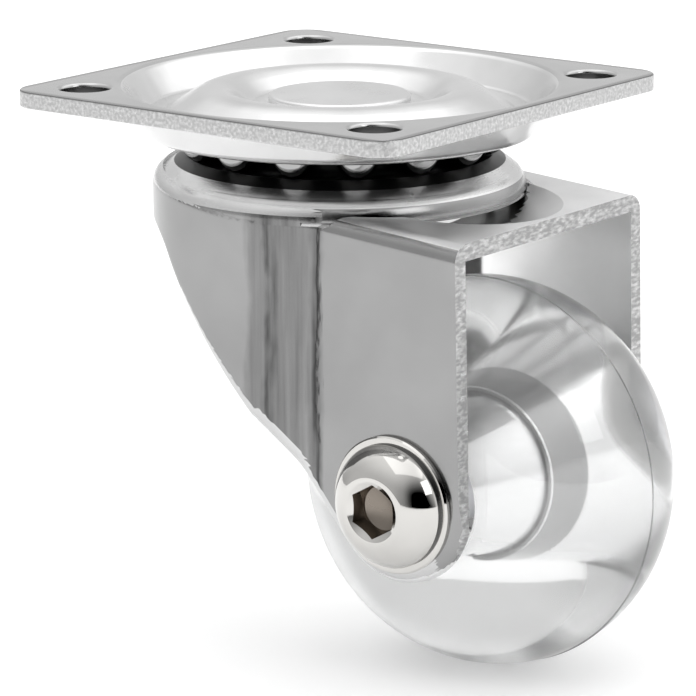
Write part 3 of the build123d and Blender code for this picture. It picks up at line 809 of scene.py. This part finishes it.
class CASTOR_OT_fork(bpy.types.Operator):
    """Smooths the pressed fork, finishes its crown and cut edges, paints shade on its race and light on its
    top, inside and rolled edges
    """
    bl_idname = "castor.fork"
    bl_label = "Fork"

    def execute(self, context):
        s = context.scene.castor_fork
        looks = context.scene.castor_finishes
        # The fork's sheet carries painted shade in its creases
        sheet = metal("Drawn Sheet", looks.fork_colour, 0.2, wave=0.04,
                      creases=(s.crease_start, s.crease_end, 0.25, looks.crease_shade_colour))
        fork = cad_copy("fork", "pressed_fork", sheet, "fork").data
        half = s.half_width

        def on_cheek(c):
            return c.x > s.cheek_start and abs(c.y) < half + 0.2 * MM

        collar = metal("Turned Collar", looks.dish_sheen_and_turned_colour, 0.2, rings=0.02)
        paint_where(fork, collar, lambda c, n: s.race_radius < c.xy.length < s.rim_radius
                    and (c.z > -s.collar_drop or n.z > 0.25 and not on_cheek(c)))
        # Painted shade on the crown's race, in the gap between the plate and the crown
        race = metal("Oiled Race", looks.race_shade_colour, 0.35)
        paint_where(fork, race, lambda c, n: c.xy.length < s.race_radius and c.z > -s.race_drop - MM
                    and n.z > -0.3)
        # Painted highlight along the down-facing rolled edges of the legs
        rolled = metal("Rolled Edge", looks.rolled_highlight_colour, 0.22)
        paint_where(fork, rolled, lambda c, n: c.z < -s.leg_top and c.x < s.leg_reach
                    and -0.95 < n.z < -0.1 and abs(c.y) > half - s.roll)
        # Painted light on the inside faces, which lie in shade
        inside = metal("Drawn Inside", looks.painted_light_colour, 0.32, wave=0.04)
        paint_where(fork, inside, lambda c, n: c.z < -s.race_drop and n.x < 0.8
                    and (n.z < -0.6 or c.xy.dot(n.xy) < -0.3 * c.xy.length))
        # Painted light on the upward faces of the fork's top
        roof = metal("Pressed Roof", looks.painted_light_colour, 0.45, wave=0.04)
        paint_where(fork, roof, lambda c, n: n.z > 0.8 and c.x > s.roof_start
                    and c.xy.length > s.rim_radius)
        edge = sheared("Sheared Edge", looks.cut_colour, 0.22, 0.4)
        paint_where(fork, edge, lambda c, n: n.x > 0.8 and c.x > s.front - 0.5 * MM)
        return {"FINISHED"}


class CASTOR_OT_axle(bpy.types.Operator):
    """Makes the bolt, its washers, the nut and the sleeve"""
    bl_idname = "castor.axle"
    bl_label = "Axle Bolt and Nut"

    def execute(self, context):
        looks = context.scene.castor_finishes
        nickel = metal("Polished Nickel", looks.nickel_colour, 0.08, 0.03, 0.0008)
        zinc = metal("Bright Zinc", looks.zinc_colour, 0.3)
        nylon = matt("Natural Nylon", looks.nylon_colour, 0.45)
        self.bolt(context.scene, looks, nickel)
        pieces = (
            ("near_washer", nickel, "nickel"),
            ("far_washer", zinc, "zinc"),
            ("lock_nut", zinc, "zinc"),
            ("axle_sleeve", zinc, "bush_steel"),
            ("nut_insert", nylon, "nylon"),
            ("near_thrust_washer", nylon, "nylon"),
            ("far_thrust_washer", nylon, "nylon"),
        )
        for node, finish, slot in pieces:
            cad_copy(node, node + "_smooth", finish, "fork")
        return {"FINISHED"}

    def bolt(self, scene, looks, nickel):
        """The bolt as one closed skin round its axis, with a hexagon socket in its domed head."""
        s = scene.castor_axle
        seat = -mm(scene.castor_fork.half_width) - mm(s.washer_thick)
        top = seat - mm(s.head_height)
        rim = seat - mm(s.rim_height)
        end = mm(s.bolt_end)
        flat = mm(s.socket_across) / 2
        lead = mm(s.lead_radius)
        face, head, shank = mm(s.face_radius), mm(s.head_radius), mm(s.shank_radius)
        floor = top + mm(s.socket_depth)
        cone, lead_depth = 1.1, 2.2
        bulge_out, bulge_up = 0.62, 0.60
        middle = (face + (head - face) * bulge_out, rim - (rim - top) * bulge_up)
        dome = arc_through((face, top), middle, (head, rim), 14)

        def across(angle):
            return flat / math.cos((angle + math.pi / 6) % (math.pi / 3) - math.pi / 6)

        rows = [lambda t: (0, floor + cone), lambda t: (flat - 0.2, floor - 0.1)]
        rows += [lambda t: (across(t), floor)]
        rows += [lambda t: (across(t), top + lead_depth * (1 - across(t) / lead))]
        plain = [(lead, top)] + dome + [(head, seat), (shank, seat)]
        bevel, pitch, groove = mm(s.end_bevel), mm(s.thread_pitch), mm(s.thread_depth)
        first, flank = 1.0, 0.3 * pitch
        for turn in (2, 1, 0):
            z = end - first - turn * pitch
            plain += [(shank, z - flank), (shank - groove, z), (shank, z + flank)]
        plain += [(shank, end - bevel), (shank - bevel, end), (0, end)]
        rows += [lambda t, p=p: p for p in plain]
        mesh = lay_on_axle(polar_mesh("button_bolt", rows, 180))
        mesh.materials.append(nickel)
        bolt = piece("button_bolt", mesh, "fork", ("axle_bolt",), math.radians(28))
        dull = metal("Dull Socket", looks.socket_colour, 0.3)
        shade = metal("Shaded Metal", looks.painted_shade_colour, 0.3)
        paint_where(mesh, dull, lambda c, n: top + 0.45 < mm(c.y) < seat + mm(s.washer_thick)
                    and Vector((c.x - s.x, c.z + s.drop)).length < s.lead_radius - 0.2 * MM)
        # Painted shade on the head's straight rim, where it meets the washer
        paint_where(mesh, shade, lambda c, n: rim < mm(c.y) < seat and abs(n.y) < 0.2)
        even_normals(bolt)


def arc_through(first, middle, last, count):
    """Points of the arc through three points."""
    (ax, ay), (bx, by), (cx, cy) = first, middle, last
    d = 2 * (ax * (by - cy) + bx * (cy - ay) + cx * (ay - by))
    a, b, c = ax * ax + ay * ay, bx * bx + by * by, cx * cx + cy * cy
    centre = ((a * (by - cy) + b * (cy - ay) + c * (ay - by)) / d,
              (a * (cx - bx) + b * (ax - cx) + c * (bx - ax)) / d)
    radius = math.hypot(ax - centre[0], ay - centre[1])
    start = math.atan2(ay - centre[1], ax - centre[0])
    stop = math.atan2(cy - centre[1], cx - centre[0])
    angles = [start + (stop - start) * k / count for k in range(count + 1)]
    return [(centre[0] + radius * math.cos(t), centre[1] + radius * math.sin(t)) for t in angles]


def polar_mesh(name, rows, steps):
    """A closed skin from rows of angle to (radius, height), the first and last at the axis."""
    work = bmesh.new()
    rings = []
    for row in rows:
        places = [(TURN * k / steps, *row(TURN * k / steps)) for k in range(steps)]
        rings.append([work.verts.new((r * MM * math.cos(t), r * MM * math.sin(t), z * MM))
                      for t, r, z in places])
    for low, high in zip(rings, rings[1:]):
        for k in range(steps):
            n = (k + 1) % steps
            work.faces.new((low[k], low[n], high[n], high[k]))
    bmesh.ops.remove_doubles(work, verts=work.verts, dist=1e-7)
    made = bpy.data.meshes.new(name)
    work.to_mesh(made)
    work.free()
    return made


class CASTOR_OT_wheel(bpy.types.Operator):
    """Turns the clear wheel with the stepped bore for its bearing"""
    bl_idname = "castor.wheel"
    bl_label = "Clear Wheel"

    def execute(self, context):
        s = context.scene.castor_wheel
        b = context.scene.castor_bearing
        half, crown = mm(s.half), mm(s.crown)
        centre = mm(s.radius) - crown
        side_r = centre + math.sqrt(crown ** 2 - half ** 2)
        rib = mm(s.rib_width) / 2
        rib_r = centre + math.sqrt(crown ** 2 - rib ** 2)
        tip = mm(s.radius) + mm(s.rib_height)
        bore, seat, bevel = mm(s.bore), mm(b.radius), mm(s.bevel)
        step = mm(b.offset) - mm(b.width) / 2
        far = arc_between((side_r, half), (rib_r, rib), (centre, 0), math.radians(1.5))
        line = [(bore, step), (seat, step), (seat, half - bevel), (seat + bevel, half)]
        line += [tuple(p) for p in far] + [(tip, rib / 2), (tip, -rib / 2)]
        line += [(p.x, -p.y) for p in reversed(far)]
        line += [(bore + bevel, -half), (bore, -half + bevel), (bore, step)]
        clear = clear_plastic("Clear Plastic", context.scene.castor_finishes.clear_colour)
        mesh = lay_on_axle(lathe("clear_wheel", line, clear, 256))
        piece("clear_wheel", mesh, "wheel", ("wheel",))
        return {"FINISHED"}


class CASTOR_OT_bearing(bpy.types.Operator):
    """Makes the ball bearing seen through the wheel"""
    bl_idname = "castor.bearing"
    bl_label = "Ball Bearing"

    def execute(self, context):
        s = context.scene.castor_bearing
        looks = context.scene.castor_finishes
        steel = metal("Bearing Steel", looks.ball_colour, 0.14, 0.03, 0.001)
        outer, bore, edge = mm(s.radius), mm(s.bore), mm(s.corner)
        low, high = mm(s.offset) - mm(s.width) / 2, mm(s.offset) + mm(s.width) / 2
        ring = (outer + bore) / 2
        lip = outer - mm(s.lip)
        sink = mm(s.sink) + mm(s.shield)
        groove = mm(s.ball_radius) + BALL_GAP
        half = math.sqrt(groove ** 2 - (lip - ring) ** 2)
        middle = mm(s.offset)
        snug, play = 0.02, 0.15
        recess = lip + mm(s.shield_seat)
        line = [(recess, low), (outer - edge, low), (outer + snug, low + edge), (outer + snug, high - edge),
                (outer - edge, high), (recess, high), (recess, high - sink), (lip, high - sink)]
        line += [tuple(p) for p in arc_between((lip, middle + half), (lip, middle - half), (ring, middle))]
        line += [(lip, low + sink), (recess, low + sink), (recess, low)]
        self.part("bearing_outer_race", line, steel, "wheel", "bearing_outer_ring")
        inner = bore + mm(s.lip)
        turned = [(2 * ring - p.x, p.y) for p in
                  arc_between((lip, middle - half), (lip, middle + half), (ring, middle))]
        line = [(bore, low + edge), (bore + edge, low), (inner, low)] + turned
        line += [(inner, high), (bore + edge, high), (bore, high - edge), (bore, low + edge)]
        self.part("bearing_inner_race", line, steel, "fork", "bearing_inner_ring")
        for name, start in (("near", low + mm(s.sink)), ("far", high - sink)):
            stop = start + mm(s.shield)
            big, small = recess - snug, inner + play
            line = [(small, start), (big, start), (big, stop), (small, stop), (small, start)]
            self.part(name + "_shield", line, steel, "wheel", name + "_bearing_shield")
        values = {"Count": s.ball_count, "Ring Radius": ring * MM, "Ball Radius": s.ball_radius,
                  "Height": s.offset, "Phase": 0.0, "Segments": 24,
                  "Material": metal("Polished Balls", looks.ball_colour, 0.09)}
        mesh = lay_on_axle(run_tree(ball_tree(), bpy.data.meshes.new("seed"), values, "bearing_ball_row"))
        nodes = [f"bearing_ball_{k + 1:02d}" for k in range(s.ball_count)]
        piece("bearing_ball_row", mesh, "bearing_balls", nodes, math.pi)
        return {"FINISHED"}

    def part(self, name, line, finish, body, node):
        """One turned part of the bearing."""
        piece(name, lay_on_axle(lathe(name, line, finish, 128)), body, (node,))


class CASTOR_OT_stage(bpy.types.Operator):
    """Lays the floor and sets the lights and the camera"""
    bl_idname = "castor.stage"
    bl_label = "Stage"

    def execute(self, context):
        scene = context.scene
        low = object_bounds()[0].z
        corners = [(x * FLOOR_REACH, y * FLOOR_REACH, low) for x, y in ((-1, -1), (1, -1), (1, 1), (-1, 1))]
        ground = bpy.data.meshes.new("floor")
        ground.from_pydata(corners, [], [(0, 1, 2, 3)])
        floor = bpy.data.objects.new("floor", ground)
        ground.materials.append(self.floor_finish(scene.castor_finishes.floor_colour))
        scene.collection.objects.link(floor)
        floor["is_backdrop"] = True
        self.studio(scene)
        self.lights(scene)
        self.camera(scene)
        scene.view_settings.view_transform = "Standard"
        return {"FINISHED"}

    def floor_finish(self, base):
        """A pale floor that the camera, the metal and the clear plastic see a little whiter."""
        made, tree, shader, _ = new_material("Pale Floor")
        shader.inputs["Base Color"].default_value = (*base, 1)
        shader.inputs["Roughness"].default_value = 0.8
        shader.inputs["Specular IOR Level"].default_value = 0.0
        ray = tree.nodes.new("ShaderNodeLightPath")
        seen = maths(tree, "MAXIMUM", ray.outputs["Is Camera Ray"], ray.outputs["Is Glossy Ray"])
        seen = maths(tree, "MAXIMUM", seen, ray.outputs["Is Transmission Ray"])
        glow = tree.nodes.new("ShaderNodeEmission")
        tree.links.new(maths(tree, "MULTIPLY", seen, FLOOR_GLOW), glow.inputs["Strength"])
        both = tree.nodes.new("ShaderNodeAddShader")
        tree.links.new(shader.outputs[0], both.inputs[0])
        tree.links.new(glow.outputs[0], both.inputs[1])
        tree.links.new(both.outputs[0], tree.nodes["Material Output"].inputs["Surface"])
        return made

    def studio(self, scene):
        """A studio with an even light and soft brighter and darker parts."""
        world = bpy.data.worlds.new("Studio")
        scene.world = world
        world.use_nodes = True
        tree = world.node_tree
        back = tree.nodes["Background"]
        place = tree.nodes.new("ShaderNodeTexCoord").outputs["Generated"]
        total = STUDIO_LEVEL
        for towards, start, stop, gain in STUDIO:
            dot = tree.nodes.new("ShaderNodeVectorMath")
            dot.operation = "DOT_PRODUCT"
            tree.links.new(place, dot.inputs[0])
            dot.inputs[1].default_value = Vector(towards).normalized()
            soft = tree.nodes.new("ShaderNodeMapRange")
            soft.interpolation_type = "SMOOTHSTEP"
            soft.inputs["From Min"].default_value = start
            soft.inputs["From Max"].default_value = stop
            soft.inputs["To Max"].default_value = gain
            tree.links.new(dot.outputs["Value"], soft.inputs["Value"])
            total = maths(tree, "ADD", total, soft.outputs["Result"])
        tree.links.new(total, back.inputs["Strength"])
        back.inputs["Color"].default_value = (1, 1, 1, 1)

    def lights(self, scene):
        """Two soft square lamps aimed at the castor's middle."""
        for name, place, width, power in LAMPS:
            lamp = bpy.data.lights.new(name, "AREA")
            lamp.shape = "SQUARE"
            lamp.size = width
            lamp.energy = power
            made = bpy.data.objects.new(name, lamp)
            made.location = place
            aim = Vector((10 * MM, 0, CASTOR_MIDDLE * MM)) - Vector(place)
            made.rotation_mode = "QUATERNION"
            made.rotation_quaternion = aim.to_track_quat("-Z", "Y")
            scene.collection.objects.link(made)

    def camera(self, scene):
        """The camera at the photograph's view angle, with no shift and no depth of field."""
        azimuth, elevation, roll = [math.radians(angle) for angle in CAMERA_ANGLES]
        back = Vector((math.sin(azimuth) * math.cos(elevation), -math.cos(azimuth) * math.cos(elevation),
                       math.sin(elevation)))
        right = Vector((math.cos(azimuth), math.sin(azimuth), 0))
        up = back.cross(right)
        level = right * math.cos(roll) + up * math.sin(roll)
        tall = up * math.cos(roll) - right * math.sin(roll)
        aim = Vector((0, 0, CASTOR_MIDDLE)) + level * CAMERA_OFFSET[0] + tall * CAMERA_OFFSET[1]
        place = (aim + back * CAMERA_DISTANCE) * MM
        lens = bpy.data.cameras.new("camera")
        lens.lens = FOCAL_PIXELS / FRAME_PIXELS * lens.sensor_width
        lens.clip_start = 0.01
        lens.clip_end = 20
        made = bpy.data.objects.new("camera", lens)
        turn = Matrix((level, tall, back)).transposed().to_4x4()
        made.matrix_world = Matrix.Translation(place) @ turn
        scene.collection.objects.link(made)
        scene.camera = made


class CASTOR_PT_panel(bpy.types.Panel):
    """Lists the castor's operators, sizes and colours"""
    bl_idname = "CASTOR_PT_panel"
    bl_label = "Swivel Plate Castor"
    bl_space_type = "VIEW_3D"
    bl_region_type = "UI"
    bl_category = "Castor"

    def draw(self, context):
        for operator in OPERATORS:
            self.layout.operator(operator.bl_idname)
        for name, group in GROUPS.items():
            box = self.layout.box()
            for setting in group.__annotations__:
                box.prop(getattr(context.scene, name), setting)


CASTOR_MIDDLE = -35.0
FLOOR_REACH = 3.0
FLOOR_GLOW = 0.28
STUDIO_LEVEL = 0.28
# Soft parts of the studio: direction, cosines where the fade starts and ends, strength
STUDIO = (
    ((-0.3, 0.75, 0.45), 0.2, 0.9, 0.5),
    ((0.7, 0.5, 0.4), 0.6, 0.95, 0.7),
    ((0, 0, 1), 0.3, 1.0, 0.5),
    ((-0.6, -0.6, 0.5), 0.3, 0.95, 0.4),
    ((0.9, -0.4, 0.1), 0.62, 0.93, -0.32),
)
# Lamps: name, place and width in metres, power in watts
LAMPS = (
    ("key", (0.1, -0.1, 1.0), 1.2, 2.6),
    ("side", (0.9, -0.1, 0.5), 0.4, 1.0),
)
# Camera: azimuth, elevation and roll in degrees, then millimetres, then pixels of the photograph's frame
CAMERA_ANGLES = (37.54, 13.895, -0.24)
CAMERA_OFFSET = (0.928, -0.138)
CAMERA_DISTANCE = 519.293
FOCAL_PIXELS = 4004.328
FRAME_PIXELS = 696

OPERATORS = (CASTOR_OT_plate, CASTOR_OT_balls, CASTOR_OT_fork, CASTOR_OT_axle, CASTOR_OT_wheel,
             CASTOR_OT_bearing, CASTOR_OT_stage)
GROUPS = {
    "castor_plate": PlateSizes,
    "castor_balls": BallSizes,
    "castor_fork": ForkSizes,
    "castor_axle": AxleSizes,
    "castor_wheel": WheelSizes,
    "castor_bearing": BearingSizes,
    "castor_finishes": Finishes,
}


def register():
    """Registers the property groups, the operators and the panel."""
    for group in (*GROUPS.values(), *OPERATORS, CASTOR_PT_panel):
        bpy.utils.register_class(group)
    for name, group in GROUPS.items():
        setattr(bpy.types.Scene, name, bpy.props.PointerProperty(type=group))


def unregister():
    """Takes everything out again."""
    for name in GROUPS:
        delattr(bpy.types.Scene, name)
    for group in (CASTOR_PT_panel, *reversed(OPERATORS), *reversed(GROUPS.values())):
        bpy.utils.unregister_class(group)


def main():
    """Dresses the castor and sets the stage."""
    register()
    bpy.ops.castor.plate()
    bpy.ops.castor.balls()
    bpy.ops.castor.fork()
    bpy.ops.castor.axle()
    bpy.ops.castor.wheel()
    bpy.ops.castor.bearing()
    bpy.ops.castor.stage()


if __name__ == "__main__":
    main()
